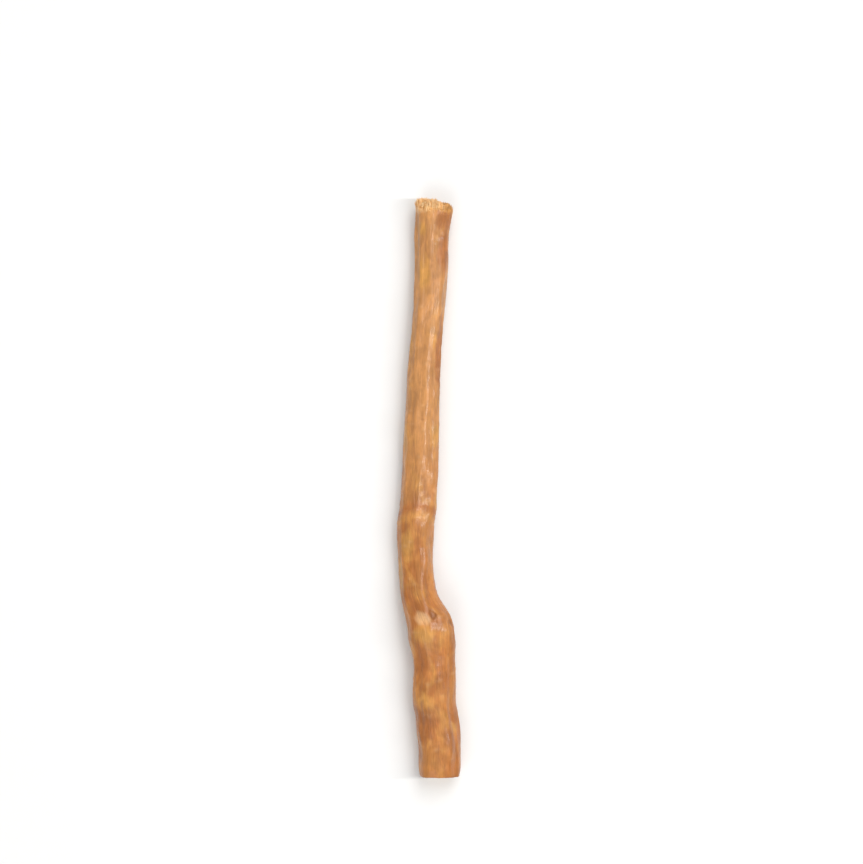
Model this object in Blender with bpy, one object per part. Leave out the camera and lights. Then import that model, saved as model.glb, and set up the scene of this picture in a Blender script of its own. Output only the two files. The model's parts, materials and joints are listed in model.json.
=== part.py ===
"""A miswak stick: a cut length of root with its bark on, lying on a flat surface.

Units are metres and +Z is up. The stick lies along Y: its rough-cut head points to +Y and its
sawn butt to -Y. The origin is on the surface it rests on, under the middle of the stick's box.
In the tables, places are in millimetres: distances along the stick are measured back from the
tip of the head, and angles round it are in degrees from +X, so 90 is its upper side.
"""

import functools
import math

import bmesh
import bpy
from mathutils import Vector, noise

MM = 0.001
STICK_LENGTH = 180

# The stick seen from above: distance from the head, left edge, right edge.
EDGES = (
    (0, -4.4, 7.1),
    (4, -4.2, 7.3),
    (8, -4.4, 6.8),
    (12, -4.6, 6.2),
    (21, -4.5, 6.0),
    (31, -4.8, 5.3),
    (41, -5.4, 4.4),
    (51, -6.5, 3.8),
    (61, -7.1, 3.4),
    (73, -7.8, 3.2),
    (84, -8.4, 3.0),
    (92, -8.8, 2.5),
    (97, -9.2, 2.3),
    (101, -9.9, 1.8),
    (106, -9.9, 1.5),
    (112, -9.7, 1.2),
    (117, -9.5, 1.5),
    (121, -9.3, 2.1),
    (124, -8.9, 2.9),
    (127, -8.3, 5.0),
    (129.5, -7.6, 6.8),
    (133, -6.8, 7.8),
    (137, -6.5, 8.3),
    (140, -5.7, 8.3),
    (143, -5.0, 8.2),
    (148, -4.9, 8.3),
    (153, -5.2, 8.4),
    (157.5, -5.0, 8.4),
    (161, -4.3, 9.2),
    (166, -3.9, 9.8),
    (172, -3.4, 9.9),
    (180, -3.2, 9.8),
)
# Its thickness from the surface up: distance from the head, thickness.
DEPTHS = (
    (0, 10.9),
    (6, 10.9),
    (14, 10.2),
    (45, 9.8),
    (80, 10.3),
    (94, 10.6),
    (101, 11.5),
    (110, 10.8),
    (122, 11.2),
    (132, 13.4),
    (142, 12.7),
    (162, 12.7),
    (180, 12.4),
)
# How high its underside arches above the surface. It dips below at three places, which are
# worn flat, and the stick rests on those.
ARCH = (
    (0, 0.3),
    (13, -0.35),
    (26, 0.2),
    (58, 0.8),
    (90, 0.2),
    (104, -0.35),
    (118, 0.2),
    (142, 0.6),
    (167, -0.35),
    (180, 0.1),
)
# A point this near the surface is moved onto it, so that the flats have no slivers round them.
SNAP = 0.06
# Points left this close together by the cut are merged, so that its edges can be filled.
WELD = 0.01

# The long ridges of the bark, and the slow lumps under them. A seed picks another pattern.
RIDGE_HEIGHT = 0.75
RIDGE_WIDTH = 2.3
RIDGE_LENGTH = 24.0
RIDGE_SEED = 0.0
LUMP_HEIGHT = 0.60
LUMP_WIDTH = 5.0
LUMP_LENGTH = 9.0
LUMP_SEED = 7.3

# Swellings where side roots grew: distance, angle, height, half-length, half-width.
KNOTS = (
    (134.0, 4, 1.9, 6.0, 4.2),
    (120.0, 172, 0.5, 5.0, 3.2),
    (153.5, 174, 0.6, 3.6, 3.0),
    (47.0, 190, 0.5, 3.4, 2.6),
    (72.0, 350, 0.5, 3.8, 2.8),
    (88.0, 236, 0.8, 3.8, 3.0),
    (30.0, 318, 0.6, 3.6, 2.8),
    (147.0, 300, 0.9, 4.2, 3.4),
    (113.0, 60, 0.5, 4.0, 2.6),
    (160.0, 112, 0.5, 3.4, 3.0),
    (37.0, 120, 0.4, 3.2, 2.4),
    (66.0, 64, 0.4, 3.0, 2.2),
)
# Hollow scars that side roots left: distance, angle, rim, pit, radius.
SCARS = (
    (129.0, 73, 0.5, 1.0, 2.3),
    (131.5, 28, 0.2, 0.5, 1.5),
    (87.5, 238, 0.4, 1.0, 2.4),
    (29.5, 320, 0.3, 0.8, 2.0),
    (146.5, 302, 0.4, 1.0, 2.5),
    (46.5, 192, 0.2, 0.6, 1.8),
)
# How sharply a scar's rim swells outside its pit, and how soon both fade with distance.
SCAR_SWELL = 2.2
SCAR_FADE = 1.6
# The ledge that rings the stick aslant: it is nearest the head on the upper side.
LEDGE_AT = 97.0
LEDGE_SLANT = 7.0
LEDGE_HEIGHT = 0.65
LEDGE_RISE = 1.2
LEDGE_FALL = 7.0

# The head was broken off slightly aslant, and its fibres stand past the bark.
HEAD_SLANT_ACROSS = 2.1
HEAD_SLANT_UP = 0.6
TUFT_LENGTH = 2.0
# The bark fills the head's section outside this share of it, and the tuft all inside it.
TUFT_SHARE = 0.9
# How ragged the bark's edge and the tuft are: depth, waves over the section, pattern.
EDGE_RAGGED = (1.1, 2.3, 4.1)
TUFT_RAGGED = (1.1, 3.7, 9.6)
# The tuft is set back by this, so that its longest points are near the tip.
TUFT_SETBACK = 0.44
# The slants of the two ends fade out over this length.
END_BLEND = 10.0
# The butt was sawn nearly square.
BUTT_SLANT = 0.6
BUTT_ROUNDING = 0.35

SIDES = 44
RINGS = 103
HEAD_INSETS = (0.08, 0.05, 0.17, 0.25, 0.25)
BUTT_INSETS = (0.3,)
# A point of the unit rod this far out is on the bark.
ON_BARK = 0.999

BARK_COLOUR = (0.46, 0.22, 0.085, 1.0)
BARK_ROUGHNESS = 0.5
SHARP_ANGLE = math.radians(50)


def smoothstep(low, high, value):
    share = min(1.0, max(0.0, (value - low) / (high - low)))
    return share * share * (3 - 2 * share)


def through(stations, column, distance):
    """A smooth curve through one column of a table, read at a distance."""
    last = len(stations) - 2
    i = max(0, min(last, sum(1 for s in stations if s[0] <= distance) - 1))
    before, start, end, after = (stations[max(0, min(last + 1, i + k))] for k in (-1, 0, 1, 2))
    span = end[0] - start[0]
    share = min(1.0, max(0.0, (distance - start[0]) / span))
    slope_in = (end[column] - before[column]) / (end[0] - before[0]) * span
    slope_out = (after[column] - start[column]) / (after[0] - start[0]) * span
    return (
        (2 * share**3 - 3 * share**2 + 1) * start[column]
        + (share**3 - 2 * share**2 + share) * slope_in
        + (3 * share**2 - 2 * share**3) * end[column]
        + (share**3 - share**2) * slope_out
    )


def angle_from(degrees, angle):
    return (angle - math.radians(degrees) + math.pi) % math.tau - math.pi


def bark_noise(distance, angle, radius, width, length, seed):
    """Smooth noise, about -1 to 1, with features this wide round the stick and this long."""
    across = radius * math.cos(angle) / width + seed
    up = radius * math.sin(angle) / width
    return noise.noise(Vector((across, up, distance / length)))


def knots(distance, angle, radius):
    height = 0.0
    for at, turn, rise, half_length, half_width in KNOTS:
        along = (distance - at) / half_length
        around = radius * angle_from(turn, angle) / half_width
        height += rise * math.exp(-(along**2) - around**2)
    return height


def scars(distance, angle, radius):
    height = 0.0
    for at, turn, rim, pit, reach in SCARS:
        along = (distance - at) / reach
        around = radius * angle_from(turn, angle) / reach
        out = along**2 + around**2
        height += (rim * SCAR_SWELL * out - pit) * math.exp(-SCAR_FADE * out)
    return height


def ledge(distance, angle):
    past = distance - LEDGE_AT - LEDGE_SLANT * (1 - math.sin(angle)) / 2
    return LEDGE_HEIGHT * math.exp(-((past / (LEDGE_RISE if past < 0 else LEDGE_FALL)) ** 2))


def girth(distance, angle):
    """How far the bark is from the middle here, before the section is fitted to its edges."""
    radius = through(DEPTHS, 1, distance) / 2
    ridge = bark_noise(distance, angle, radius, RIDGE_WIDTH, RIDGE_LENGTH, RIDGE_SEED)
    lump = bark_noise(distance, angle, radius, LUMP_WIDTH, LUMP_LENGTH, LUMP_SEED)
    return (
        radius
        + RIDGE_HEIGHT * ridge
        + LUMP_HEIGHT * lump
        + knots(distance, angle, radius)
        + scars(distance, angle, radius)
        + ledge(distance, angle)
    )


@functools.lru_cache(maxsize=None)
def section_reach(tenths):
    """The left, right, lowest and highest reach of the section a number of tenths from the head."""
    across, up = [], []
    for side in range(SIDES):
        angle = math.tau * side / SIDES
        out = girth(tenths / 10, angle)
        across.append(out * math.cos(angle))
        up.append(out * math.sin(angle))
    return min(across), max(across), min(up), max(up)


def section_point(distance, share, angle):
    """A point of the section at this distance, fitted between the edges; share is 1 on the bark."""
    left, right, low, high = section_reach(round(distance * 10))
    out = share * girth(distance, angle)
    left_edge, right_edge = (through(EDGES, column, distance) for column in (1, 2))
    x = left_edge + (out * math.cos(angle) - left) / (right - left) * (right_edge - left_edge)
    z = through(ARCH, 1, distance)
    z += (out * math.sin(angle) - low) / (high - low) * through(DEPTHS, 1, distance)
    return x, z


def torn(share, angle, ragged):
    """How far back the tearing left a place of the head's section, more or less than its mean."""
    depth, waves, pattern = ragged
    across, up = share * math.cos(angle), share * math.sin(angle)
    return depth * noise.noise(Vector((across * waves, up * waves, pattern)))


def head_cut(share, angle):
    """How far the cut face of the head lies back from the tip."""
    back = HEAD_SLANT_ACROSS * (1 + share * math.cos(angle)) / 2
    back += HEAD_SLANT_UP * (1 + share * math.sin(angle)) / 2
    if share > TUFT_SHARE:
        return back + TUFT_LENGTH + torn(share, angle, EDGE_RAGGED)
    return back + TUFT_SETBACK + torn(share, angle, TUFT_RAGGED)


def place(along, share, angle):
    """Where a point of the unit rod goes: along is 0 at the butt and 1 at the head."""
    distance = (1 - along) * STICK_LENGTH
    back = head_cut(share, angle)
    distance += back * smoothstep(END_BLEND, 0, distance)
    butt = smoothstep(STICK_LENGTH - END_BLEND, STICK_LENGTH, distance)
    distance -= butt * BUTT_SLANT * (1 + share * math.sin(angle)) / 2
    if along == 0 and share == 1:
        share -= BUTT_ROUNDING / through(DEPTHS, 1, distance) * 2
    x, z = section_point(distance, share, angle)
    if abs(z) < SNAP:
        z = 0.0
    return Vector((x, STICK_LENGTH / 2 - distance, z)) * MM


def unit_rod():
    """A cylinder of radius 1 from 0 to 1 along Z, ringed along its side and on both ends."""
    rod = bmesh.new()
    bmesh.ops.create_cone(rod, cap_ends=True, segments=SIDES, radius1=1, radius2=1, depth=1)
    bmesh.ops.translate(rod, verts=rod.verts, vec=(0, 0, 0.5))
    long_edges = [e for e in rod.edges if abs(e.verts[0].co.z - e.verts[1].co.z) > 0.5]
    bmesh.ops.subdivide_edges(rod, edges=long_edges, cuts=RINGS - 1)
    for cap in [f for f in rod.faces if len(f.verts) == SIDES]:
        for inset in HEAD_INSETS if cap.normal.z > 0 else BUTT_INSETS:
            bmesh.ops.inset_region(rod, faces=[cap], thickness=inset)
        bmesh.ops.poke(rod, faces=[cap])
    return rod


def wear_flats(rod):
    """Cuts off what dips below the surface and closes the cuts with flat faces."""
    everything = rod.verts[:] + rod.edges[:] + rod.faces[:]
    bmesh.ops.bisect_plane(
        rod, geom=everything, plane_co=(0, 0, 0), plane_no=(0, 0, 1), clear_inner=True
    )
    bmesh.ops.remove_doubles(rod, verts=rod.verts, dist=WELD * MM)
    bmesh.ops.holes_fill(rod, edges=[e for e in rod.edges if e.is_boundary])


def bark_material():
    bark = bpy.data.materials.new("bark")
    bark.use_nodes = True
    shader = bark.node_tree.nodes["Principled BSDF"]
    shader.inputs["Base Color"].default_value = BARK_COLOUR
    shader.inputs["Roughness"].default_value = BARK_ROUGHNESS
    return bark


def make_stick(collection):
    rod = unit_rod()
    for vert in rod.verts:
        share = math.hypot(vert.co.x, vert.co.y)
        share = 1.0 if share > ON_BARK else share
        vert.co = place(round(vert.co.z, 6), share, math.atan2(vert.co.y, vert.co.x))
    wear_flats(rod)
    bmesh.ops.recalc_face_normals(rod, faces=rod.faces)
    mesh = bpy.data.meshes.new("stick")
    rod.to_mesh(mesh)
    rod.free()
    mesh.shade_smooth()
    mesh.set_sharp_from_angle(angle=SHARP_ANGLE)
    mesh.materials.append(bark_material())
    stick = bpy.data.objects.new("stick", mesh)
    collection.objects.link(stick)


def main():
    for old in list(bpy.data.objects):
        bpy.data.objects.remove(old)
    collection = bpy.data.collections.new("miswak_stick")
    bpy.context.scene.collection.children.link(collection)
    make_stick(collection)


main()
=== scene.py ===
"""The looks of a miswak stick: a cut root with its bark on, laid on a pale floor.

The script is laid out as a Blender add-on and run as a script. It is in metres, +Z up. The stick
lies along Y with its torn head towards +Y. A place on it is given in millimetres back from the
tip of the head, and in degrees round it from +X, so 90 is its upper side.
"""

import json
import math
import random

import bpy
import numpy as np
from bpy.props import FloatProperty, FloatVectorProperty, IntProperty, PointerProperty
from mathutils import Matrix, Vector, noise
from mathutils.bvhtree import BVHTree

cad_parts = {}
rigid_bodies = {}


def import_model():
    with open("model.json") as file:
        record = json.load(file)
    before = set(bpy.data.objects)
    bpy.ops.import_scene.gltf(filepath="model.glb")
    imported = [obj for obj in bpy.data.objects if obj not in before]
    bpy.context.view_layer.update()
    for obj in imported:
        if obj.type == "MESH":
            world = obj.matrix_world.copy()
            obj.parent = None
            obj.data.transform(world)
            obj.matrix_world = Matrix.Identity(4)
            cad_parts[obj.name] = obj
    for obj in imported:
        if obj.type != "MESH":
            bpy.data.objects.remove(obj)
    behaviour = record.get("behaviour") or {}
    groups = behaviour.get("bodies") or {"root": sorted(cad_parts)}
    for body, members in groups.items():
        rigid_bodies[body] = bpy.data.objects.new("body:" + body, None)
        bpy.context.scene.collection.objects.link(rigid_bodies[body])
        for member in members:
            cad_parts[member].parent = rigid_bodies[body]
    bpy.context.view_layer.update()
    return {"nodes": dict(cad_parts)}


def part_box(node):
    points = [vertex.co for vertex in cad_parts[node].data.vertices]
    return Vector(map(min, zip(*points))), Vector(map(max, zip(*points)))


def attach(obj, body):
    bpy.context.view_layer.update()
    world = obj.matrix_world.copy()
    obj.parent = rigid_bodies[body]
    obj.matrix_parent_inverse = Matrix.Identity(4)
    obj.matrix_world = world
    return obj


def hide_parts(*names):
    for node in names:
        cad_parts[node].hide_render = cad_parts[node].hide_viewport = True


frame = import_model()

bl_info = {
    "name": "Miswak stick",
    "version": (1, 0, 0),
    "blender": (4, 5, 0),
    "location": "3D View > Sidebar > Miswak",
    "description": "Dresses a packed miswak stick in bark, torn fibres and studio light",
    "category": "Object",
}

MM = 0.001
STICK_LOW, STICK_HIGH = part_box("stick")
HEAD_TIP = STICK_HIGH.y
STICK_LENGTH = STICK_HIGH.y - STICK_LOW.y

# The grain is unrolled onto a rod of this radius in millimetres, so it has no seam.
GRAIN_RADIUS = 5.5
BARK_SLOT, TORN_SLOT, SAWN_SLOT = range(3)

# Hollow scars that side roots left: distance, angle, radius.
SCARS = (
    (129.0, 73, 2.3),
    (131.5, 28, 1.5),
    (87.5, 238, 2.4),
    (29.5, 320, 2.0),
    (146.5, 302, 2.5),
    (46.5, 192, 1.8),
)
# Patches where the bark is rubbed pale, the first of them a painted highlight on the head's upper
# left: distance, angle, half-length, half-width.
PALE_PATCHES = (
    (3.9, 142, 1.3, 2.6),
    (130.0, 107, 1.8, 1.9),
    (62.0, 262, 2.6, 1.6),
    (20.0, 214, 1.8, 1.2),
    (108.0, 292, 2.2, 1.5),
    (151.0, 226, 1.8, 1.4),
    (171.0, 258, 1.6, 1.8),
)
# Patches of yellower bark.
OCHRE_PATCHES = (
    (135.2, 110, 2.6, 2.4),
    (156.6, 120, 2.8, 2.4),
    (9.8, 134, 1.9, 2.1),
    (44.0, 166, 4.5, 1.8),
    (73.8, 166, 4.0, 1.8),
    (73.8, 34, 3.6, 1.8),
    (94.0, 14, 3.4, 1.5),
    (108.0, 122, 4.5, 2.4),
    (24.0, 118, 5.0, 2.2),
    (52.0, 248, 5.0, 2.4),
    (125.0, 232, 4.0, 2.6),
    (140.0, 150, 2.4, 1.3),
    (158.0, 322, 4.6, 2.6),
    (164.2, 38, 1.7, 1.5),
)
# Patches of darker bark.
UMBER_PATCHES = (
    (142.7, 128, 5.0, 2.6),
    (162.3, 127, 5.0, 3.5),
    (167.0, 56, 4.0, 2.2),
    (6.6, 38, 3.8, 3.8),
    (16.4, 38, 7.0, 2.4),
    (47.5, 30, 9.0, 1.8),
    (127.0, 116, 3.4, 1.6),
    (84.0, 210, 7.0, 3.0),
    (36.0, 270, 8.0, 3.0),
    (120.0, 290, 6.0, 3.0),
    (150.0, 248, 6.0, 3.0),
)
# Patches of greener bark, where it is thin.
OLIVE_PATCHES = (
    (117.4, 163, 4.8, 1.5),
    (76.0, 196, 4.0, 1.6),
    (98.0, 330, 3.2, 1.5),
    (14.0, 278, 3.6, 2.0),
    (140.0, 262, 4.2, 2.0),
)
# Creases across the bark: the distance and angle of each end.
CREASES = (
    (16.0, 116, 20.2, 82),
    (31.9, 134, 37.0, 104),
    (57.7, 148, 64.5, 84),
    (68.3, 104, 68.8, 60),
    (54.4, 90, 53.2, 48),
    (41.0, 20, 44.2, 48),
    (106.5, 40, 109.0, 72),
    (118.0, 150, 121.5, 118),
    (124.6, 128, 122.8, 96),
    (150.0, 60, 152.4, 30),
    (112.0, 210, 116.0, 246),
    (58.0, 230, 55.0, 280),
    (24.0, 250, 27.0, 210),
    (166.0, 200, 163.0, 240),
)
# The ledge that rings the stick aslant, as in the solid.
LEDGE_AT = 97.0
LEDGE_SLANT = 7.0
# Sectors round the head in which the torn edge of the bark is found.
EDGE_SECTORS = 90
# Where the bend has wrinkled the bark, and the side that it wrinkled on.
KNEE_AT = 124.0
KNEE_REACH = 9.0
KNEE_INNER_ANGLE = 20

# How far from an end of the stick each of these is looked for.
POLE_WITHIN = 10 * MM
FRONT_WITHIN = 9 * MM
BARK_EDGE_WITHIN = 8 * MM
SAWN_END_WITHIN = 1.5 * MM
# Sections behind the torn front, for the head's middle and for its bark.
MIDDLE_SECTION = 5 * MM
BARK_SECTION = 5.5 * MM
# Rings of faces round the torn front's pole.
TORN_RINGS = 4
# Insets of the sawn end.
BARK_RING_INSETS = (0.25 * MM, 0.60 * MM)
SAWN_WOOD_INSETS = (0.50 * MM, 0.50 * MM)
RIM_SHARPNESS = math.radians(48)
RIM_CREASE = 0.55
SUBDIVISIONS = 2

# Unevenness of the bark: height, size across, up and along in mm, seed.
RELIEF_WAVES = (
    (0.13, (3.0, 3.0, 6.5), 8.2),
    (0.05, (1.5, 1.5, 2.6), 16.4),
    (0.04, (0.6, 0.6, 1.5), 1.4),
)
# Heights, depths and reaches in mm.
CROSS_WAVE = 0.02
WRINKLE_WAVE = 0.16
LENTICEL_HEIGHT = 0.14
SCAR_LUMPS = 0.34
SCAR_DEPTH = 0.24
FRAY_LIFT = 0.22
FRAY_SINK = 0.10
FRAY_REACH = 0.5
SPLINTER_REACH = 0.45

# The noises that colour the bark: size across, up and along in mm, seed, detail, distortion.
BARK_NOISES = {
    "broad": ((5.5, 5.5, 12.0), 3.0, 3.0, 0.6),
    "yellow": ((4.2, 4.2, 8.0), 21.0, 3.0, 0.8),
    "streak": ((0.85, 0.85, 19.0), 7.0, 3.0, 0.3),
    "fibre": ((0.26, 0.26, 4.5), 13.0, 3.0, 0.0),
    "mottle": ((1.6, 1.6, 2.2), 31.0, 3.0, 0.0),
    "cloud": ((3.0, 3.0, 5.0), 43.0, 2.0, 0.5),
    "speck": ((0.42, 0.42, 0.60), 5.0, 1.0, 0.0),
    "gaps": ((3.4, 3.4, 18.0), 9.0, 2.0, 0.0),
}
# How dark and how light each noise makes it.
BARK_SHADES = (
    ("cloud", 0.86, 1.12),
    ("streak", 0.96, 1.04),
    ("fibre", 0.93, 1.07),
    ("mottle", 0.94, 1.06),
)
# The bark grows lighter towards the head between these distances.
LIGHTER_BETWEEN = (112.0, 70.0)
# The middle of a noise's range, where most of its values are.
NOISE_RANGE = (0.3, 0.7)

LENTICEL_SEED = 41
HEAD_SEED = 7
FIBRE_SHAPES = 10
SHRED_SHAPES = 5
# How deep in the solid a torn fibre starts, in mm.
FIBRE_SUNK = 0.9

# The lamps: name, place, width and height in metres, power in watts.
LAMPS = (
    ("key", (1.20, 3.75, 5.70), (3.6, 4.2), 225.0),
    ("fill", (-1.50, -3.90, 5.25), (4.2, 4.2), 110.0),
)
STRIP_PLACE = (0.42, 0.02, 0.68)
STRIP_SIZE = (0.03, 0.60)
SKY_COLOUR = (1.0, 0.995, 0.985, 1.0)
SKY_STRENGTH = 0.48
# What the camera is over, and the height that its span is measured at.
VIEW_CENTRE = (0.776 * MM, 17.08 * MM)
VIEW_LEVEL = 6.5 * MM
SENSOR_WIDTH = 36.0


class BarkSettings(bpy.types.PropertyGroup):
    furrow_depth: FloatProperty(
        name="Furrow depth",
        description="Depth of the fine furrows along the bark",
        default=0.10 * MM,
        unit="LENGTH",
    )
    crease_depth: FloatProperty(
        name="Crease depth",
        description="Depth of the creases across the bark",
        default=0.12 * MM,
        unit="LENGTH",
    )
    lenticels: IntProperty(
        name="Lenticels",
        description="Number of small raised breathing pores on the bark",
        default=110,
        min=0,
    )
    brown: FloatVectorProperty(
        name="Brown",
        description="Colour of the darker bark",
        default=(0.40, 0.132, 0.022),
        subtype="COLOR",
    )
    tan: FloatVectorProperty(
        name="Tan",
        description="Colour of most of the bark",
        default=(0.49, 0.192, 0.042),
        subtype="COLOR",
    )
    upper_tan: FloatVectorProperty(
        name="Upper tan",
        description="Colour of the lighter bark towards the head",
        default=(0.56, 0.262, 0.085),
        subtype="COLOR",
    )
    # Also the colour of the painted highlight just below the ledge.
    ochre_and_highlight: FloatVectorProperty(
        name="Ochre",
        description="Colour of the yellower bark",
        default=(0.60, 0.285, 0.062),
        subtype="COLOR",
    )
    # Also the colour of the painted shadow line just above the ledge.
    umber_and_shade: FloatVectorProperty(
        name="Umber",
        description="Colour of the darkest patches of bark",
        default=(0.36, 0.112, 0.020),
        subtype="COLOR",
    )
    olive: FloatVectorProperty(
        name="Olive",
        description="Colour of the thin, greener bark",
        default=(0.46, 0.270, 0.085),
        subtype="COLOR",
    )
    # Also the colour of the painted highlight on the head's upper left.
    pale: FloatVectorProperty(
        name="Pale",
        description="Colour of the rubbed patches and of the lenticels",
        default=(0.72, 0.420, 0.195),
        subtype="COLOR",
    )
    scar: FloatVectorProperty(
        name="Scar",
        description="Colour in the hollow scars",
        default=(0.17, 0.056, 0.015),
        subtype="COLOR",
    )
    deep: FloatVectorProperty(
        name="Deep",
        description="Colour in the furrows, the creases and the specks",
        default=(0.20, 0.062, 0.014),
        subtype="COLOR",
    )
    roughness: FloatProperty(
        name="Roughness",
        description="How matt the bark is",
        default=0.46,
        min=0.0,
        max=1.0,
        subtype="FACTOR",
    )


class HeadSettings(bpy.types.PropertyGroup):
    side_fibres: IntProperty(
        name="Side fibres",
        description="Number of torn fibres tried on the side of the head",
        default=420,
        min=1,
    )
    front_fibres: IntProperty(
        name="Front fibres",
        description="Number of torn fibres tried on the front of the head",
        default=1680,
        min=1,
    )
    hairs: IntProperty(
        name="Hairs",
        description="Number of thin, longer fibres tried on the front of the head",
        default=140,
        min=0,
    )
    lip_fibres: IntProperty(
        name="Lip fibres",
        description="Number of short fibres over the bark's torn edge",
        default=620,
        min=0,
    )
    fibre_width: FloatProperty(
        name="Fibre width",
        description="Width of a torn fibre at its root",
        default=0.15 * MM,
        unit="LENGTH",
    )
    fibre_reach: FloatProperty(
        name="Fibre reach",
        description="How far the longest fibres stand past the solid head",
        default=1.0 * MM,
        unit="LENGTH",
    )
    shreds: IntProperty(
        name="Bark shreds",
        description="Number of torn shreds along the bark's edge at the head",
        default=70,
        min=1,
    )
    straw: FloatVectorProperty(
        name="Straw",
        description="Colour of the deeper wood fibres",
        default=(0.72, 0.35, 0.100),
        subtype="COLOR",
    )
    cream: FloatVectorProperty(
        name="Cream",
        description="Colour of the paler wood fibres",
        default=(0.95, 0.67, 0.355),
        subtype="COLOR",
    )


class StageSettings(bpy.types.PropertyGroup):
    floor_size: FloatProperty(
        name="Floor size",
        description="Width of the floor",
        default=12.0,
        unit="LENGTH",
    )
    floor_colour: FloatVectorProperty(
        name="Floor colour",
        description="Colour of the floor",
        default=(0.80, 0.80, 0.795),
        subtype="COLOR",
    )
    camera_lens: FloatProperty(
        name="Camera lens",
        description="Focal length of the camera",
        default=85.0,
        unit="CAMERA",
    )
    view_span: FloatProperty(
        name="View span",
        description="Length on the stick's level that the picture's long side takes in",
        default=268.1 * MM,
        unit="LENGTH",
    )
    strip_power: FloatProperty(
        name="Strip power",
        description="Power of the long lamp that draws the sheen along the stick",
        default=2.8,
        unit="POWER",
    )


def smoothstep(low, high, value):
    share = np.clip((value - low) / (high - low), 0, 1)
    return share * share * (3 - 2 * share)


def turn_between(a, b):
    """The angle from b to a in radians, from minus half a turn to half a turn."""
    return (a - b + math.pi) % math.tau - math.pi


def select_only(*pieces):
    bpy.ops.object.select_all(action="DESELECT")
    for piece in pieces:
        piece.select_set(True)
    bpy.context.view_layer.objects.active = pieces[0]


def edit_faces(piece, wanted):
    """Opens the piece in edit mode with only the faces selected that wanted is true for."""
    select_only(piece)
    mesh = piece.data
    for group in (mesh.vertices, mesh.edges, mesh.polygons):
        group.foreach_set("select", np.zeros(len(group), bool))
    for face in mesh.polygons:
        face.select = wanted(face)
    bpy.ops.object.mode_set(mode="EDIT")
    bpy.ops.mesh.select_mode(type="FACE")


def leave_edit():
    bpy.ops.object.mode_set(mode="OBJECT")


def points_of(mesh, field="co"):
    flat = np.empty(len(mesh.vertices) * 3)
    mesh.vertices.foreach_get(field, flat)
    return flat.reshape(-1, 3)


def store(mesh, name, values):
    """Keeps one number or one vector for each vertex under a name that materials can read."""
    values = np.asarray(values, np.float32)
    kind, field = ("FLOAT_VECTOR", "vector") if values.ndim == 2 else ("FLOAT", "value")
    attribute = mesh.attributes.new(name, kind, "POINT")
    attribute.data.foreach_set(field, values.ravel())


class Grain:
    """Finds how far from the head and how far round the stick a point is."""

    STEP = 1.5 * MM

    def __init__(self, points):
        along = HEAD_TIP - points[:, 1]
        self.stations = (np.arange(int(STICK_LENGTH / self.STEP)) + 0.5) * self.STEP
        middles = []
        for station in self.stations:
            near = points[np.abs(along - station) < self.STEP]
            middles.append((near.min(0) + near.max(0)) / 2)
        self.middles = np.array(middles)

    def middle(self, along):
        """X and Z of the middle of the stick at distances from the head in metres."""
        return [np.interp(along, self.stations, self.middles[:, axis]) for axis in (0, 2)]

    def read(self, points):
        """Distances in millimetres, and angles in radians."""
        along = HEAD_TIP - points[:, 1]
        x, z = self.middle(along)
        return along / MM, np.arctan2(points[:, 2] - z, points[:, 0] - x)

    def unroll(self, points):
        """The points on the straight rod, in millimetres."""
        along, angle = self.read(points)
        return np.stack((np.cos(angle) * GRAIN_RADIUS, np.sin(angle) * GRAIN_RADIUS, along), 1)


def smooth_noise(places, size, seed):
    """Noise about -1 to 1 with features of this size in millimetres: across, up and along."""
    scaled = places / np.array(size) + seed
    return np.array([noise.noise(place) for place in scaled.tolist()])


def from_place(along, angle, at, degrees):
    """How far each point is from a place on the stick, along it and round it, in millimetres."""
    return along - at, GRAIN_RADIUS * turn_between(angle, math.radians(degrees))


def blotches(along, angle, patches, rough):
    """0 to 1 where there is a patch, with its edge broken up by rough."""
    found = np.zeros(len(along))
    for at, degrees, half_length, half_width in patches:
        down, around = from_place(along, angle, at, degrees)
        out = (down / half_length) ** 2 + (around / half_width) ** 2
        found = np.maximum(found, smoothstep(2.0, 0.1, out * (1 + 0.4 * rough) + 0.4 * rough))
    return found


def furrows(places):
    """0 to 1 along thin lines that follow the grain and come and go."""
    field = smooth_noise(places, (1.5, 1.5, 15.0), 3.1)
    fine = smooth_noise(places, (0.9, 0.9, 8.0), 11.7)
    strength = smoothstep(-0.25, 0.45, smooth_noise(places, (3.8, 3.8, 21.0), 5.9))
    deep = np.exp(-((field / 0.12) ** 2)) * strength
    shallow = 0.45 * np.exp(-((fine / 0.15) ** 2))
    return np.clip(deep + shallow, 0, 1.2)


def creases(along, angle, rough):
    """0 to 1 along the creases that cross the bark, made to wander by rough."""
    found = np.zeros(len(along))
    for start, start_angle, end, end_angle in CREASES:
        down, around = from_place(along, angle, start, start_angle)
        run = end - start
        sweep = GRAIN_RADIUS * math.radians(end_angle - start_angle)
        share = np.clip((down * run + around * sweep) / (run**2 + sweep**2), 0, 1)
        arch = np.sin(share * math.pi)
        wander = 0.35 * arch + 0.45 * rough
        off = np.hypot(down - share * run - wander, around - share * sweep)
        depth = np.sqrt(arch) * np.clip(0.75 + 0.6 * rough, 0, 1)
        found = np.maximum(found, np.exp(-((off / (0.22 + 0.12 * arch)) ** 2)) * depth)
    return found


def lenticels(along, angle, count):
    """Height from 0 to 1 of the lenticels, each with a slit round the stick."""
    draw = random.Random(LENTICEL_SEED)
    height = np.zeros(len(along))
    for _ in range(count):
        at, degrees = draw.uniform(8, 176), draw.uniform(0, 360)
        half_width, half_length = draw.uniform(0.45, 1.05), draw.uniform(0.28, 0.45)
        near = np.abs(along - at) < 2.5
        down, around = from_place(along[near], angle[near], at, degrees)
        bump = np.exp(-((down / half_length) ** 2) - (around / half_width) ** 2)
        slit = np.exp(-((down / 0.18) ** 2) - (around / (half_width * 0.7)) ** 2)
        height[near] = np.maximum(height[near], bump - 0.5 * slit)
    return height


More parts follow.
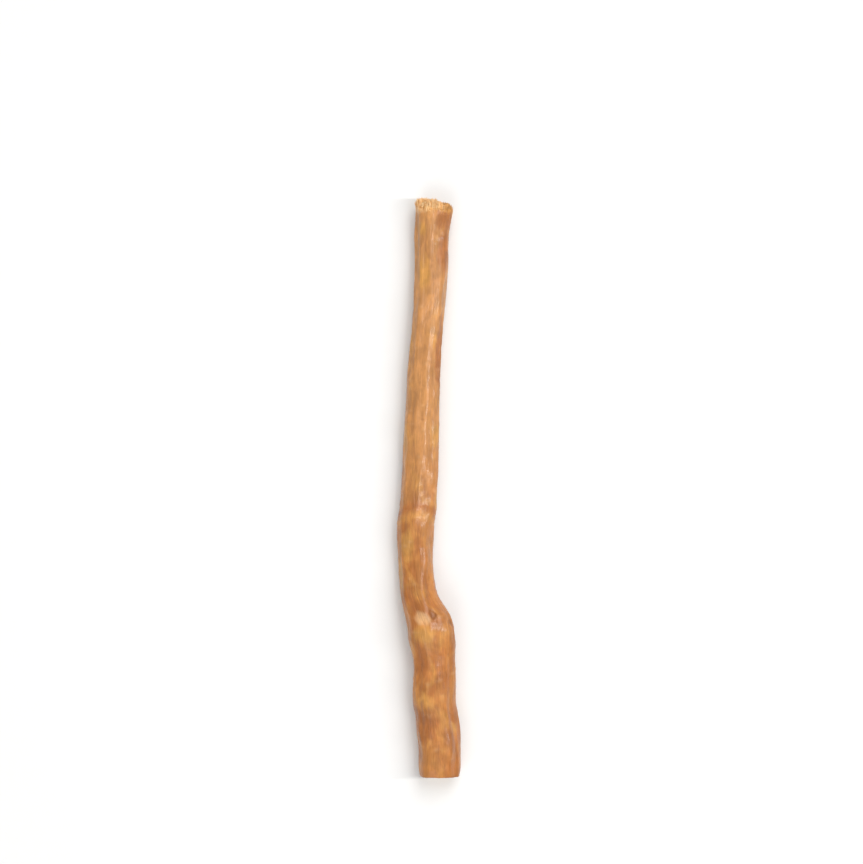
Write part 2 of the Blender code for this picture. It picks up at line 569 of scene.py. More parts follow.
def scars(along, angle, rough):
    """0 outside the scars, rising to 1 at the middle of one, with a broken edge."""
    found = np.zeros(len(along))
    for at, degrees, radius in SCARS:
        down, around = from_place(along, angle, at, degrees)
        out = (down / (1.15 * radius)) ** 2 + (around / (0.72 * radius)) ** 2
        found = np.maximum(found, np.exp(-1.3 * out * (1 + 0.5 * rough)))
    return found


def ledge_band(along, angle, shift, half_width):
    """0 to 1 in a band that follows the ledge, this far below its crest."""
    ledge = LEDGE_AT + LEDGE_SLANT * (1 - np.sin(angle)) / 2
    return np.exp(-(((along - ledge - shift) / half_width) ** 2))


def wrinkled(along, angle):
    """0 to 1 where the bark is wrinkled crosswise: at the ledge and inside the knee."""
    at_ledge = ledge_band(along, angle, 0.0, 2.4)
    inner = np.exp(-((turn_between(angle, math.radians(KNEE_INNER_ANGLE)) / 1.1) ** 2))
    at_knee = np.exp(-(((along - KNEE_AT) / KNEE_REACH) ** 2)) * inner
    return np.clip(at_ledge + at_knee, 0, 1)


def bark_relief(places, along, angle, settings):
    """How far the bark stands out in millimetres, and the marks that colour it."""
    rough = smooth_noise(places, (1.6, 1.6, 2.2), 14.5)
    furrow = furrows(places)
    crease = creases(along, angle, rough)
    lenticel = lenticels(along, angle, settings.lenticels)
    scar = scars(along, angle, rough)
    across = smooth_noise(places, (4.5, 4.5, 0.95), 6.6)
    lumps = smooth_noise(places, (0.8, 0.8, 1.1), 2.2)
    relief = (
        sum(height * smooth_noise(places, size, seed) for height, size, seed in RELIEF_WAVES)
        + (CROSS_WAVE + WRINKLE_WAVE * wrinkled(along, angle)) * across
        + LENTICEL_HEIGHT * lenticel
        - settings.furrow_depth / MM * furrow
        - settings.crease_depth / MM * crease
        + SCAR_LUMPS * scar * lumps
        - SCAR_DEPTH * smoothstep(0.62, 0.95, scar)
    )
    # Painted light at the ledge: a painted shadow line just above its crest, put into the umber
    # mark, and a painted highlight just below it, put into the ochre mark.
    painted_ledge_shadow = ledge_band(along, angle, -1.5, 1.0) * (0.8 + 0.3 * rough)
    painted_ledge_highlight = ledge_band(along, angle, 1.4, 1.3) * (0.6 + 0.3 * rough)
    marks = {
        "hollow": np.clip(0.50 * furrow + crease, 0, 1.2),
        "lenticel": np.clip(lenticel, 0, 1),
        "scar": scar,
        "pale": blotches(along, angle, PALE_PATCHES, rough),
        "ochre_and_highlight": np.maximum(blotches(along, angle, OCHRE_PATCHES, rough), painted_ledge_highlight),
        "olive": blotches(along, angle, OLIVE_PATCHES, rough),
        "umber_and_shade": np.maximum(blotches(along, angle, UMBER_PATCHES, rough), painted_ledge_shadow),
    }
    return relief, marks


def own_copy(node, name):
    """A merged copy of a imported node's mesh in quads, as an object of its own."""
    copy = bpy.data.objects.new(name, node.data.copy())
    bpy.context.scene.collection.objects.link(copy)
    select_only(copy)
    bpy.ops.mesh.customdata_custom_splitnormals_clear()
    bpy.ops.object.mode_set(mode="EDIT")
    bpy.ops.mesh.select_all(action="SELECT")
    bpy.ops.mesh.remove_doubles(threshold=0.002 * MM)
    bpy.ops.mesh.mark_sharp(clear=True)
    bpy.ops.mesh.tris_convert_to_quads()
    leave_edit()
    return copy


def recut_butt(stick):
    """Makes the sawn end one face again, and insets it for the bark's edge and the wood.

    The last two insets keep the face's corners, which the subdivision pulls in, off the bark.
    """
    sawn_below = STICK_LOW.y + SAWN_END_WITHIN
    edit_faces(stick, lambda face: face.normal.y < -0.95 and face.center.y < sawn_below)
    bpy.ops.mesh.dissolve_faces()
    for inset in BARK_RING_INSETS:
        bpy.ops.mesh.inset(thickness=inset)
    stick.active_material_index = SAWN_SLOT
    bpy.ops.object.material_slot_assign()
    for inset in SAWN_WOOD_INSETS:
        bpy.ops.mesh.inset(thickness=inset)
    leave_edit()


def bare_head(stick):
    """Gives the torn wood of the head its material: all that is inside the bark's edge."""
    mesh = stick.data
    touching = np.zeros(len(mesh.vertices), int)
    for face in mesh.polygons:
        touching[list(face.vertices)] += 1
    touching[points_of(mesh)[:, 1] < HEAD_TIP - POLE_WITHIN] = 0
    pole = int(touching.argmax())
    edit_faces(stick, lambda face: pole in face.vertices[:])
    for _ in range(TORN_RINGS):
        bpy.ops.mesh.select_more()
    stick.active_material_index = TORN_SLOT
    bpy.ops.object.material_slot_assign()
    leave_edit()


def sharpen_rims(stick):
    """Creases the edges of the two ends, so that the subdivision keeps them."""
    edit_faces(stick, lambda face: False)
    bpy.ops.mesh.select_mode(type="EDGE")
    bpy.ops.mesh.edges_select_sharp(sharpness=RIM_SHARPNESS)
    leave_edit()
    mesh = stick.data
    crease = mesh.attributes.new("crease_edge", "FLOAT", "EDGE")
    for edge in mesh.edges:
        y = mesh.vertices[edge.vertices[0]].co.y
        at_an_end = y > HEAD_TIP - BARK_EDGE_WITHIN or y < STICK_LOW.y + SAWN_END_WITHIN
        if edge.select and at_an_end:
            crease.data[edge.index].value = RIM_CREASE


def on_slots(mesh, *slots):
    """1 for each vertex of a face with one of these materials, else 0."""
    found = np.zeros(len(mesh.vertices))
    for face in mesh.polygons:
        if face.material_index in slots:
            found[list(face.vertices)] = 1
    return found


def mark_cut_edges(mesh):
    """Stores 1 on the bared wood, falling to 0 over the bark's cut edge."""
    wood = on_slots(mesh, TORN_SLOT, SAWN_SLOT)
    ends = np.empty(len(mesh.edges) * 2, int)
    mesh.edges.foreach_get("vertices", ends)
    first, second = ends.reshape(-1, 2).T
    near = wood.copy()
    np.maximum.at(near, first, 0.6 * wood[second])
    np.maximum.at(near, second, 0.6 * wood[first])
    store(mesh, "cut", near)


def frayed(along, angle, torn):
    """1 at the bark's torn edge, falling to 0 over the next 2 mm of bark."""
    sector = (angle / math.tau * EDGE_SECTORS).astype(int) % EDGE_SECTORS
    edge = np.zeros(EDGE_SECTORS)
    np.maximum.at(edge, sector, along * torn)
    return smoothstep(2.0, 0.0, along - edge[sector])


def carve_bark(stick, grain, settings):
    """Moves the surface out and in for its furrows, creases, lenticels, scars and torn edge."""
    mesh = stick.data
    points, normals = points_of(mesh), points_of(mesh, "normal")
    places = grain.unroll(points)
    along, angle = grain.read(points)
    relief, marks = bark_relief(places, along, angle, settings)
    torn, sawn = on_slots(mesh, TORN_SLOT), on_slots(mesh, SAWN_SLOT)
    off_the_floor = smoothstep(0.0, 0.5, points[:, 2] / MM)
    bark = (1 - np.maximum(torn, sawn)) * off_the_floor
    fray = frayed(along, angle, torn)
    tatter = smooth_noise(places, (0.7, 0.7, 9.0), 9.3)
    relief += fray * (FRAY_LIFT * tatter - FRAY_SINK)
    marks["fray"] = fray
    points += normals * (relief * bark * MM)[:, None]
    points[:, 1] += FRAY_REACH * MM * tatter * fray * bark
    splinters = smooth_noise(points / MM, (0.5, 3.0, 0.5), 4.4)
    points[:, 1] += SPLINTER_REACH * MM * splinters * torn
    points[:, 2] = np.maximum(points[:, 2], 0)
    mesh.vertices.foreach_set("co", points.ravel())
    store(mesh, "grain", places)
    for name, values in marks.items():
        store(mesh, name, values * bark)
    mesh.update()


class Recipe:
    """Builds the nodes of one material."""

    def __init__(self, name):
        self.material = bpy.data.materials.new(name)
        self.material.use_nodes = True
        self.tree = self.material.node_tree
        self.shader = self.tree.nodes["Principled BSDF"]

    def feed(self, socket, value):
        if isinstance(value, bpy.types.NodeSocket):
            self.tree.links.new(value, socket)
        elif socket.type == "RGBA":
            socket.default_value = (*value, 1.0)
        else:
            socket.default_value = value

    def node(self, kind, **settings):
        node = self.tree.nodes.new(kind)
        for name, value in settings.items():
            setattr(node, name, value)
        return node

    def set(self, name, value):
        self.feed(self.shader.inputs[name], value)

    def stored(self, name):
        return self.node("ShaderNodeAttribute", attribute_name=name).outputs["Fac"]

    def stored_vector(self, name):
        return self.node("ShaderNodeAttribute", attribute_name=name).outputs["Vector"]

    def object_place(self):
        return self.node("ShaderNodeTexCoord").outputs["Object"]

    def part(self, vector, axis):
        node = self.node("ShaderNodeSeparateXYZ")
        self.feed(node.inputs[0], vector)
        return node.outputs[axis]

    def scaled(self, vector, size, shift=(0, 0, 0)):
        """The vector moved back by shift and measured in features of this size."""
        move = self.node("ShaderNodeVectorMath", operation="SUBTRACT")
        self.feed(move.inputs[0], vector)
        self.feed(move.inputs[1], shift)
        node = self.node("ShaderNodeVectorMath", operation="DIVIDE")
        self.feed(node.inputs[0], move.outputs[0])
        self.feed(node.inputs[1], size)
        return node.outputs[0]

    def texture(self, kind, vector, scale, **settings):
        node = self.node(kind, **settings)
        self.feed(node.inputs["Vector"], vector)
        self.feed(node.inputs["Scale"], scale)
        return node

    def noise(self, vector, size, seed=0.0, detail=2.0, distortion=0.0):
        place = self.scaled(vector, size, (seed, seed, seed))
        node = self.texture("ShaderNodeTexNoise", place, 1.0)
        self.feed(node.inputs["Detail"], detail)
        self.feed(node.inputs["Distortion"], distortion)
        return node.outputs["Fac"]

    def lines(self, vector, size, seed, half_width):
        """1 along thin lines, where a noise crosses its middle."""
        off = self.sum(self.noise(vector, size, seed, 1.0, 0.4), -0.5)
        node = self.node("ShaderNodeMath", operation="ABSOLUTE")
        self.feed(node.inputs[0], off)
        return self.spread(node.outputs[0], 0.0, half_width, 1.0, 0.0)

    def spread(self, value, low, high, to_low=0.0, to_high=1.0):
        """A smooth step from to_low at low to to_high at high."""
        node = self.node("ShaderNodeMapRange", interpolation_type="SMOOTHSTEP")
        for socket, number in zip(node.inputs, (value, low, high, to_low, to_high)):
            self.feed(socket, number)
        return node.outputs[0]

    def vary(self, noise, to_low, to_high):
        """The values of a noise, brought to between these two."""
        return self.spread(noise, *NOISE_RANGE, to_low, to_high)

    def sum(self, *values):
        return self.chain("ADD", values)

    def times(self, *values):
        return self.chain("MULTIPLY", values)

    def most(self, *values):
        return self.chain("MAXIMUM", values)

    def chain(self, operation, values):
        total = values[0]
        for value in values[1:]:
            node = self.node("ShaderNodeMath", operation=operation)
            self.feed(node.inputs[0], total)
            self.feed(node.inputs[1], value)
            total = node.outputs[0]
        return total

    def blend(self, below, above, share):
        node = self.node("ShaderNodeMix", data_type="RGBA")
        factor, low, high = (node.inputs[i] for i in (0, 6, 7))
        self.feed(factor, share)
        self.feed(low, below)
        self.feed(high, above)
        return node.outputs[2]

    def shade(self, colour, value):
        """The colour made lighter or darker by a value about 1."""
        node = self.node("ShaderNodeHueSaturation")
        self.feed(node.inputs["Value"], value)
        self.feed(node.inputs["Color"], colour)
        return node.outputs[0]

    def bump(self, height, depth):
        node = self.node("ShaderNodeBump")
        self.feed(node.inputs["Distance"], depth)
        self.feed(node.inputs["Height"], height)
        self.set("Normal", node.outputs[0])


def bark_material(settings):
    bark = Recipe("miswak bark")
    grain = bark.stored_vector("grain")
    along = bark.part(grain, "Z")
    noises = {name: bark.noise(grain, *values) for name, values in BARK_NOISES.items()}
    streak, fibre, mottle = noises["streak"], noises["fibre"], noises["mottle"]
    broad = bark.spread(noises["broad"], 0.36, 0.64)
    yellow = bark.spread(noises["yellow"], 0.50, 0.72)
    speck = bark.spread(noises["speck"], 0.66, 0.76)

    come_and_go = bark.spread(noises["gaps"], 0.42, 0.60)
    crack = bark.times(bark.lines(grain, (1.05, 1.05, 13.0), 51.0, 0.055), come_and_go)
    hair = bark.times(bark.lines(grain, (0.45, 0.45, 6.0), 67.0, 0.075), 0.40)
    furrow = bark.most(crack, hair)

    colour = bark.blend(settings.brown, settings.tan, broad)
    lighter = bark.spread(along, *LIGHTER_BETWEEN, 0.0, 0.75)
    colour = bark.blend(colour, settings.upper_tan, lighter)
    # The ochre mark holds the yellower bark patches and the painted highlight below the ledge.
    ochre_and_highlight = bark.most(bark.times(yellow, 0.55), bark.stored("ochre_and_highlight"))
    colour = bark.blend(colour, settings.ochre_and_highlight, bark.times(ochre_and_highlight, 0.85))
    colour = bark.blend(colour, settings.olive, bark.times(bark.stored("olive"), 0.6))
    # The umber mark holds the darker bark patches and the painted shadow line above the ledge.
    colour = bark.blend(colour, settings.umber_and_shade, bark.times(bark.stored("umber_and_shade"), 0.8))
    # The pale mark holds the rubbed patches and a painted highlight on the head's upper left.
    colour = bark.blend(colour, settings.pale, bark.times(bark.stored("pale"), 0.75))
    lenticel = bark.stored("lenticel")
    colour = bark.blend(colour, settings.pale, bark.times(lenticel, 0.40))
    ragged = bark.sum(bark.vary(fibre, -0.40, 0.40), bark.vary(streak, -0.3, 0.3))
    scraped = bark.spread(bark.sum(bark.stored("fray"), ragged), 0.45, 0.95)
    scraped = bark.most(scraped, bark.spread(bark.stored("cut"), 0.1, 0.65))
    colour = bark.blend(colour, settings.ochre_and_highlight, bark.times(scraped, 0.75))
    for name, dark, light in BARK_SHADES:
        colour = bark.shade(colour, bark.vary(noises[name], dark, light))
    hollow = bark.most(bark.stored("hollow"), bark.times(furrow, 0.75), bark.times(speck, 0.5))
    colour = bark.blend(colour, settings.deep, bark.times(hollow, 0.34))
    scar = bark.times(bark.stored("scar"), bark.spread(mottle, 0.25, 0.6, 0.65, 1.1))
    scar = bark.spread(scar, 0.25, 0.95, 0.0, 0.58)
    colour = bark.blend(colour, settings.scar, scar)
    bark.set("Base Color", colour)

    matt = bark.vary(fibre, settings.roughness - 0.07, settings.roughness + 0.08)
    bark.set("Roughness", bark.sum(matt, bark.times(scar, 0.25), bark.times(lenticel, 0.15)))
    bark.set("Specular IOR Level", 0.32)
    bark.set("Coat Weight", 0.42)
    bark.set("Coat Roughness", 0.25)
    height = bark.sum(
        bark.times(fibre, 0.6),
        bark.times(streak, 0.5),
        bark.times(mottle, 0.4),
        bark.times(furrow, -0.8),
    )
    bark.bump(height, 0.10 * MM)
    return bark.material


def torn_wood_material(settings):
    wood = Recipe("torn miswak wood")
    place = wood.object_place()
    run = wood.noise(place, (0.30 * MM, 4.0 * MM, 0.30 * MM), 0.01, 3.0)
    clump = wood.noise(place, (1.6 * MM, 5.0 * MM, 1.6 * MM), 0.02, 2.0)
    share = wood.sum(wood.times(run, 0.6), wood.times(wood.stored("tone"), 0.55))
    share = wood.sum(share, wood.times(wood.stored("reach"), 0.35))
    right = wood.spread(wood.part(place, "X"), 2.0 * MM, 6.5 * MM)
    share = wood.sum(share, wood.times(right, -0.55))
    colour = wood.blend(settings.straw, settings.cream, wood.spread(share, 0.25, 1.1))
    colour = wood.shade(colour, wood.vary(clump, 0.84, 1.10))
    colour = wood.shade(colour, wood.spread(right, 0.0, 1.0, 1.0, 0.78))
    wood.set("Base Color", colour)
    wood.set("Roughness", wood.vary(run, 0.62, 0.78))
    wood.set("Specular IOR Level", 0.35)
    wood.bump(run, 0.08 * MM)
    return wood.material


def sawn_wood_material(settings, centre):
    """End grain: tan islands in faint rings, rays from the middle, pores and saw lines."""
    wood = Recipe("sawn miswak wood")
    from_centre = wood.scaled(wood.object_place(), (MM, MM, MM), centre)
    rings = wood.texture(
        "ShaderNodeTexWave", from_centre, 0.30, wave_type="RINGS", rings_direction="Y"
    )
    wood.feed(rings.inputs["Distortion"], 3.4)
    wood.feed(rings.inputs["Detail Scale"], 0.5)
    turned = wood.node("ShaderNodeCombineXYZ")
    wood.feed(turned.inputs["X"], wood.part(from_centre, "X"))
    wood.feed(turned.inputs["Y"], wood.part(from_centre, "Z"))
    turn = wood.node("ShaderNodeTexGradient", gradient_type="RADIAL")
    wood.feed(turn.inputs["Vector"], turned.outputs[0])
    rays = wood.node("ShaderNodeTexNoise", noise_dimensions="1D")
    wood.feed(rays.inputs["W"], wood.times(turn.outputs["Fac"], 62.0))
    wood.feed(rays.inputs["Scale"], 1.0)
    out = wood.node("ShaderNodeVectorMath", operation="LENGTH")
    wood.feed(out.inputs[0], turned.outputs[0])
    islands = wood.texture("ShaderNodeTexVoronoi", from_centre, 1.15, feature="SMOOTH_F1")
    island = wood.spread(islands.outputs["Distance"], 0.42, 0.20)
    pores = wood.texture("ShaderNodeTexVoronoi", from_centre, 4.2)
    pore = wood.spread(pores.outputs["Distance"], 0.24, 0.12)
    stain = wood.noise(from_centre, (3.2, 3.2, 3.2), 6.0, 3.0, 0.5)
    saw = wood.noise(from_centre, (4.0, 4.0, 0.14), 2.0, 2.0)

    ringed = wood.spread(rings.outputs["Fac"], 0.0, 1.0, 0.28, 0.38)
    tint = wood.sum(ringed, wood.times(island, 0.26))
    colour = wood.blend(settings.cream, settings.straw, tint)
    colour = wood.shade(colour, wood.vary(stain, 0.84, 1.04))
    colour = wood.shade(colour, wood.vary(rays.outputs["Fac"], 0.96, 1.02))
    colour = wood.shade(colour, wood.spread(out.outputs["Value"], 0.9, 0.1, 1.0, 0.80))
    colour = wood.shade(colour, wood.spread(pore, 0.0, 1.0, 1.0, 0.86))
    wood.set("Base Color", colour)
    wood.set("Roughness", wood.vary(saw, 0.66, 0.80))
    wood.set("Specular IOR Level", 0.3)
    wood.bump(wood.sum(wood.times(saw, 0.6), wood.times(pore, -0.8)), 0.08 * MM)
    return wood.material


class MISWAK_OT_bark(bpy.types.Operator):
    """Gives the stick its bark: furrows, creases, lenticels, scars and two bared ends"""

    bl_idname = "miswak.bark"
    bl_label = "Bark"

    def execute(self, context):
        settings, head = context.scene.miswak_bark, context.scene.miswak_head
        stick = own_copy(frame["nodes"]["stick"], "bark_stick")
        grain = Grain(points_of(stick.data))
        x, z = grain.middle(STICK_LENGTH)
        centre = (float(x), STICK_LOW.y, float(z))
        stick.data.materials.clear()
        stick.data.materials.append(bark_material(settings))
        stick.data.materials.append(torn_wood_material(head))
        stick.data.materials.append(sawn_wood_material(head, centre))
        recut_butt(stick)
        bare_head(stick)
        sharpen_rims(stick)
        mark_cut_edges(stick.data)
        select_only(stick)
        finer = stick.modifiers.new("Finer", "SUBSURF")
        finer.levels = finer.render_levels = SUBDIVISIONS
        bpy.ops.object.modifier_apply(modifier=finer.name)
        carve_bark(stick, grain, settings)
        bpy.ops.object.shade_smooth()
        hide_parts("stick")
        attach(stick, "root")
        return {"FINISHED"}


def source_fibre(draw):
    """A bent, tapered fibre one unit long and one unit wide, rooted at the origin along Z."""
    bpy.ops.object.select_all(action="DESELECT")
    bpy.ops.mesh.primitive_circle_add(vertices=5, radius=0.5, fill_type="NGON")
    bpy.ops.object.mode_set(mode="EDIT")
    bpy.ops.mesh.select_all(action="SELECT")
    bend, heading = draw.uniform(0.3, 1.1), draw.uniform(0, math.tau)
    centre = Vector((0, 0, 0))
    for width in (0.98, 0.94, 0.86, draw.uniform(0.35, 0.95)):
        heading += draw.uniform(-0.7, 0.7)
        step = Vector((math.cos(heading) * bend / 4, math.sin(heading) * bend / 4, 0.25))
        bpy.ops.mesh.extrude_region_move(TRANSFORM_OT_translate={"value": step})
        centre += step
        bpy.ops.transform.resize(value=(width, width, 1), center_override=centre)
    bpy.ops.mesh.select_all(action="SELECT")
    bpy.ops.mesh.normals_make_consistent(inside=False)
    leave_edit()
    fibre = bpy.context.object
    store(fibre.data, "reach", points_of(fibre.data)[:, 2])
    return fibre


def source_shred(draw):
    """A thin torn strip one unit long and wide: along Y, facing up Z, narrowed to its tip."""
    bpy.ops.object.select_all(action="DESELECT")
    bpy.ops.mesh.primitive_plane_add(size=1, location=(0, 0, 0))
    strip = bpy.context.object
    bpy.ops.object.mode_set(mode="EDIT")
    bpy.ops.transform.resize(value=(1, 0.3, 1), center_override=(0, 0, 0))
    leave_edit()
    edit_faces(strip, lambda face: False)
    leave_edit()
    corners = strip.data.vertices
    for edge in strip.data.edges:
        edge.select = all(corners[i].co.y > 0 for i in edge.vertices)
    for corner in corners:
        corner.select = corner.co.y > 0
    bpy.ops.object.mode_set(mode="EDIT")
    bpy.ops.mesh.select_mode(type="EDGE")
    centre = Vector((0, 0.15, 0))
    for width in (0.86, draw.uniform(0.5, 0.8), draw.uniform(0.2, 0.5)):
        step = Vector((draw.uniform(-0.12, 0.12), 0.28, draw.uniform(-0.04, 0.10)))
        bpy.ops.mesh.extrude_edges_move(TRANSFORM_OT_translate={"value": step})
        centre += step
        bpy.ops.transform.resize(value=(width, 1, 1), center_override=centre)
    leave_edit()
    thick = strip.modifiers.new("Thick", "SOLIDIFY")
    thick.thickness = 0.16
    bpy.ops.object.modifier_apply(modifier=thick.name)
    return strip


def plant(source, matrix, **stored):
    """A copy of a source shape with a mesh of its own, put in place by its vertices."""
    mesh = source.data.copy()
    mesh.transform(matrix)
    for name, value in stored.items():
        store(mesh, name, np.full(len(mesh.vertices), value))
    copy = bpy.data.objects.new(source.name, mesh)
    bpy.context.scene.collection.objects.link(copy)
    return copy


def join_as(name, copies, sources, material):
    select_only(*copies)
    bpy.ops.object.join()
    piece = bpy.context.object
    piece.name = name
    piece.data.materials.clear()
    piece.data.materials.append(material)
    bpy.ops.object.shade_smooth_by_angle(angle=math.radians(60))
    for source in sources:
        bpy.data.objects.remove(source)
    return piece


class HeadShape:
    """Where the torn wood and the bark's edge are, found by rays on the finished stick."""

    def __init__(self, stick):
        points = points_of(stick.data)
        near = points[np.abs(HEAD_TIP - points[:, 1] - MIDDLE_SECTION) < MM]
        self.middle = Vector((near.min(0) + near.max(0)) / 2)
        self.surface = BVHTree.FromObject(stick, bpy.context.evaluated_depsgraph_get())
        self.edges = [self.find_bark_edge(math.radians(degrees)) for degrees in range(360)]

    def side(self, y, angle):
        """The surface's point and normal at this y, seen from the side."""
        outward = Vector((math.cos(angle), 0, math.sin(angle)))
        start = Vector((self.middle.x, y, self.middle.z)) + outward * 0.03
        return self.surface.ray_cast(start, -outward)[:2]

    def find_bark_edge(self, angle):
        """The y where the bark ends at this angle: the surface steps in there."""
        step = 0.1 * MM
        y = HEAD_TIP - BARK_EDGE_WITHIN
        out = (self.side(y, angle)[0] - self.middle).xz.length
        while y < HEAD_TIP:
            y += step
            point = self.side(y, angle)[0]
            further = (point - self.middle).xz.length if point else 0
            if out - further > step:
                return y
            out = further
        raise RuntimeError("the bark's edge wasn't found")

    def bark_edge(self, angle):
        return self.edges[int(math.degrees(angle)) % 360]

    def across(self, share, angle):
        """X and Z at a share of the way from the middle to the bark."""
        bark = self.side(HEAD_TIP - BARK_SECTION, angle)[0]
        place = self.middle.lerp(bark, share)
        return place.x, place.z

    def front(self, share, angle):
        """The point of the head's front that is seen there from in front, if there is one."""
        x, z = self.across(share, angle)
        hit = self.surface.ray_cast(Vector((x, HEAD_TIP + 0.02, z)), Vector((0, -1, 0)))[0]
        return hit if hit and hit.y > HEAD_TIP - FRONT_WITHIN else None


def stretched_along(draw, start, heading, width, length):
    """Places a unit fibre at start, along heading, turned at random about its own length."""
    return (
        Matrix.Translation(start)
        @ heading.to_track_quat("Z", "Y").to_matrix().to_4x4()
        @ Matrix.Rotation(draw.uniform(0, math.tau), 4, "Z")
        @ Matrix.Diagonal((width, width * draw.uniform(0.55, 1.0), length, 1))
    )


def worn(place):
    """0 on the whole of the head's left, rising to 1 at its right edge, where it is worn lower."""
    return float(smoothstep(2.0, 7.0, place.x / MM))


def lay_side_fibre(draw, head, settings):
    """A fibre on the side of the bared wood, from under the bark's edge to the torn front."""
    angle = draw.uniform(0, math.tau)
    edge, front = head.bark_edge(angle), head.front(0.78, angle)
    root = head.side(edge + 0.4 * MM, angle)[0]
    if root is None or front is None:
        return None
    further = head.side((edge + front.y) / 2, angle)[0] or root
    outward = Vector((math.cos(angle), 0, math.sin(angle)))
    heading = Vector((0, 1, 0)) + outward * (draw.gauss(0.02, 0.04) + 0.16 * worn(root))
    if further.y - root.y > 0.3 * MM:
        heading += (further - root).normalized()
    heading += outward.cross((0, 1, 0)) * draw.gauss(0, 0.05)
    lift = outward * draw.uniform(-0.06, 0.08) * MM
    start = root - heading.normalized() * FIBRE_SUNK * MM + lift
    reach = settings.fibre_reach * (draw.uniform(-0.7, 0.7) - 0.8 * worn(root))
    length = front.y - start.y + reach
    return stretched_along(
        draw, start, heading, settings.fibre_width * draw.uniform(0.6, 1.2), max(length, 1.2 * MM)
    )


def lay_front_fibre(draw, head, settings, hair):
    """A fibre that stands out of the torn front. Neighbours are of like length."""
    angle, share = draw.uniform(0, math.tau), 0.86 * math.sqrt(draw.random())
    front = head.front(share, angle)
    if front is None:
        return None
    clump = 0.5 + 0.5 * noise.noise(front / (1.3 * MM))
    reach = settings.fibre_reach * (0.45 + 0.85 * clump) * draw.uniform(0.5, 1.0)
    reach *= 1 - 0.6 * worn(front)
    splay = draw.gauss(0.03, 0.06) + (0.12 * draw.random() if hair else 0)
    heading = Vector((math.cos(angle) * splay, 1, math.sin(angle) * splay))
    heading += Vector((draw.gauss(0, 0.06), 0, draw.gauss(0, 0.06)))
    width = settings.fibre_width * (0.38 if hair else draw.uniform(0.6, 1.3))
    sunk = FIBRE_SUNK * MM
    length = (reach + sunk) * (draw.uniform(1.0, 1.25) if hair else 1)
    return stretched_along(draw, front - Vector((0, sunk, 0)), heading, width, length)


def lay_lip_fibre(draw, head, settings):
    """A short fibre that lies on the bark and reaches past its torn edge."""
    angle = draw.uniform(0, math.tau)
    root, outward = head.side(head.bark_edge(angle) - draw.uniform(0.2, 1.8) * MM, angle)
    heading = Vector((draw.gauss(0, 0.10), 1, 0)) + outward * draw.uniform(-0.10, 0.03)
    width = settings.fibre_width * draw.uniform(0.7, 1.3)
    start = root - outward * 0.04 * MM
    return stretched_along(draw, start, heading, width, draw.uniform(1.0, 2.2) * MM)


def lay_shred(draw, head):
    """One shred of bark at the torn edge, lying on the stick and reaching past the edge."""
    angle = draw.uniform(0, math.tau)
    root, outward = head.side(head.bark_edge(angle) - 0.7 * MM, angle)
    forward = Vector((draw.gauss(0, 0.10), 1, 0)) + outward * draw.uniform(-0.10, 0.02)
    forward.normalize()
    side = forward.cross(outward).normalized()
    turn = Matrix((side, forward, side.cross(forward))).transposed().to_4x4()
    size = Matrix.Diagonal((draw.uniform(0.25, 0.75) * MM, draw.uniform(0.8, 1.3) * MM, MM, 1))
    return Matrix.Translation(root - outward * 0.05 * MM) @ turn @ size


class MISWAK_OT_head(bpy.types.Operator):
    """Covers the torn head with wood fibres, and frays the bark's edge round it"""

    bl_idname = "miswak.head"
    bl_label = "Torn head"

    def execute(self, context):
        settings = context.scene.miswak_head
        stick = bpy.data.objects["bark_stick"]
        head = HeadShape(stick)
        draw = random.Random(HEAD_SEED)
        sources = [source_fibre(draw) for _ in range(FIBRE_SHAPES)]
        places = []
        for count, lay, extra in (
            (settings.side_fibres, lay_side_fibre, ()),
            (settings.front_fibres, lay_front_fibre, (False,)),
            (settings.hairs, lay_front_fibre, (True,)),
            (settings.lip_fibres, lay_lip_fibre, ()),
        ):
            places += [lay(draw, head, settings, *extra) for _ in range(count)]
        places = [place for place in places if place]
        if len(places) < (settings.side_fibres + settings.front_fibres) / 2:
            raise RuntimeError("too few fibres found the head")
        copies = [plant(draw.choice(sources), place, tone=draw.random()) for place in places]
        fibres = join_as("head_fibres", copies, sources, stick.data.materials[TORN_SLOT])
        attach(fibres, "root")

        sources = [source_shred(draw) for _ in range(SHRED_SHAPES)]
        copies = [
            plant(draw.choice(sources), lay_shred(draw, head)) for _ in range(settings.shreds)
        ]
        shreds = join_as("bark_shreds", copies, sources, stick.data.materials[BARK_SLOT])
        store(shreds.data, "grain", Grain(points_of(stick.data)).unroll(points_of(shreds.data)))
        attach(shreds, "root")
        return {"FINISHED"}


def floor_material(colour):
    """Plain matt board with the faintest unevenness."""
    board = Recipe("pale floor")
    grain = board.noise(board.object_place(), (0.004, 0.004, 0.004), 0.0, 2.0)
    board.set("Base Color", board.shade(colour, board.vary(grain, 0.995, 1.0)))
    board.set("Roughness", 0.9)
    board.set("Specular IOR Level", 0.1)
    return board.material


def add_lamp(name, place, size, power):
    """An oblong lamp that faces the origin."""
    bpy.ops.object.light_add(type="AREA", location=place)
    lamp = bpy.context.object
    lamp.name = name
    lamp.rotation_euler = (-Vector(place)).to_track_quat("-Z", "Y").to_euler()
    lamp.data.shape = "RECTANGLE"
    lamp.data.size, lamp.data.size_y = size
    lamp.data.energy = power


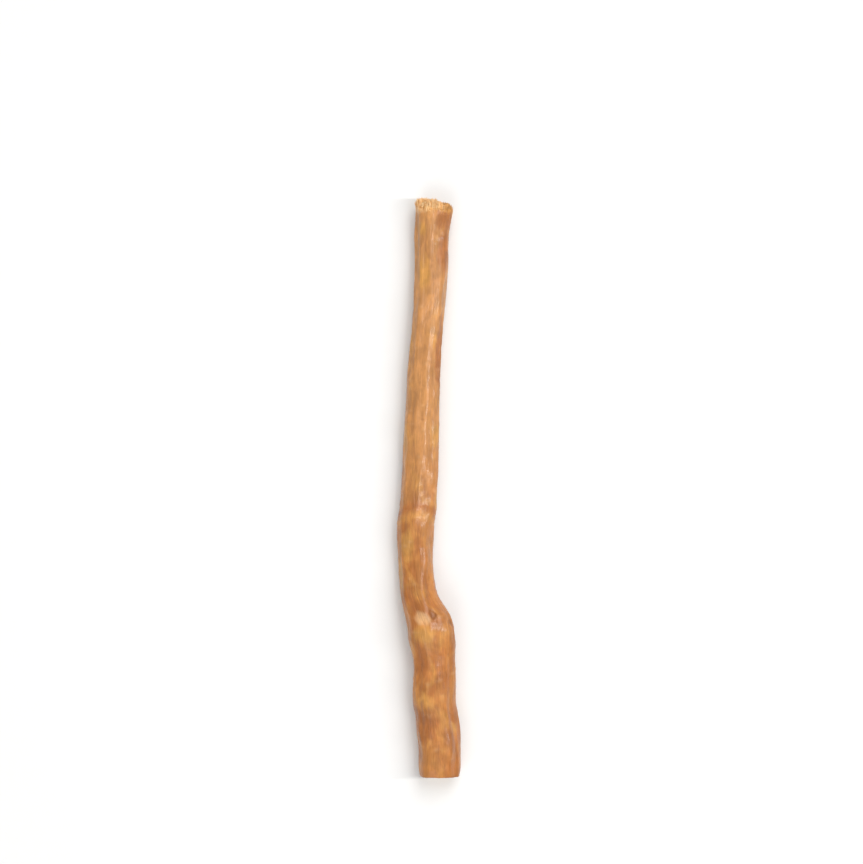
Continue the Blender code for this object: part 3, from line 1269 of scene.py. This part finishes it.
class MISWAK_OT_stage(bpy.types.Operator):
    """Lays the floor and sets the lamps and the camera that looks straight down"""

    bl_idname = "miswak.stage"
    bl_label = "Stage"

    def execute(self, context):
        settings = context.scene.miswak_stage
        bpy.ops.object.select_all(action="DESELECT")
        bpy.ops.mesh.primitive_plane_add(size=settings.floor_size, location=(0, 0, 0))
        floor = bpy.context.object
        floor.name = "floor"
        floor.data.materials.append(floor_material(settings.floor_colour))

        for lamp in LAMPS:
            add_lamp(*lamp)
        add_lamp("strip", STRIP_PLACE, STRIP_SIZE, settings.strip_power)

        world = bpy.data.worlds.new("studio")
        world.use_nodes = True
        sky = world.node_tree.nodes["Background"]
        sky.inputs["Color"].default_value = SKY_COLOUR
        sky.inputs["Strength"].default_value = SKY_STRENGTH
        context.scene.world = world
        context.scene.view_settings.view_transform = "Standard"

        distance = settings.view_span * settings.camera_lens / SENSOR_WIDTH
        bpy.ops.object.camera_add(location=(*VIEW_CENTRE, VIEW_LEVEL + distance))
        camera = bpy.context.object
        camera.rotation_euler = (0, 0, 0)
        camera.data.lens = settings.camera_lens
        camera.data.sensor_width = SENSOR_WIDTH
        camera.data.clip_start, camera.data.clip_end = 0.01, 20.0
        context.scene.camera = camera
        return {"FINISHED"}


class MISWAK_PT_panel(bpy.types.Panel):
    bl_label = "Miswak stick"
    bl_idname = "MISWAK_PT_panel"
    bl_space_type = "VIEW_3D"
    bl_region_type = "UI"
    bl_category = "Miswak"

    def draw(self, context):
        for operator, settings in (
            ("miswak.bark", context.scene.miswak_bark),
            ("miswak.head", context.scene.miswak_head),
            ("miswak.stage", context.scene.miswak_stage),
        ):
            box = self.layout.box()
            box.operator(operator)
            for name in type(settings).__annotations__:
                box.prop(settings, name)


CLASSES = (
    BarkSettings,
    HeadSettings,
    StageSettings,
    MISWAK_OT_bark,
    MISWAK_OT_head,
    MISWAK_OT_stage,
    MISWAK_PT_panel,
)


def register():
    for cls in CLASSES:
        bpy.utils.register_class(cls)
    bpy.types.Scene.miswak_bark = PointerProperty(type=BarkSettings)
    bpy.types.Scene.miswak_head = PointerProperty(type=HeadSettings)
    bpy.types.Scene.miswak_stage = PointerProperty(type=StageSettings)


def unregister():
    del bpy.types.Scene.miswak_stage
    del bpy.types.Scene.miswak_head
    del bpy.types.Scene.miswak_bark
    for cls in reversed(CLASSES):
        bpy.utils.unregister_class(cls)


def main():
    register()
    bpy.ops.miswak.bark()
    bpy.ops.miswak.head()
    bpy.ops.miswak.stage()


if __name__ == "__main__":
    main()
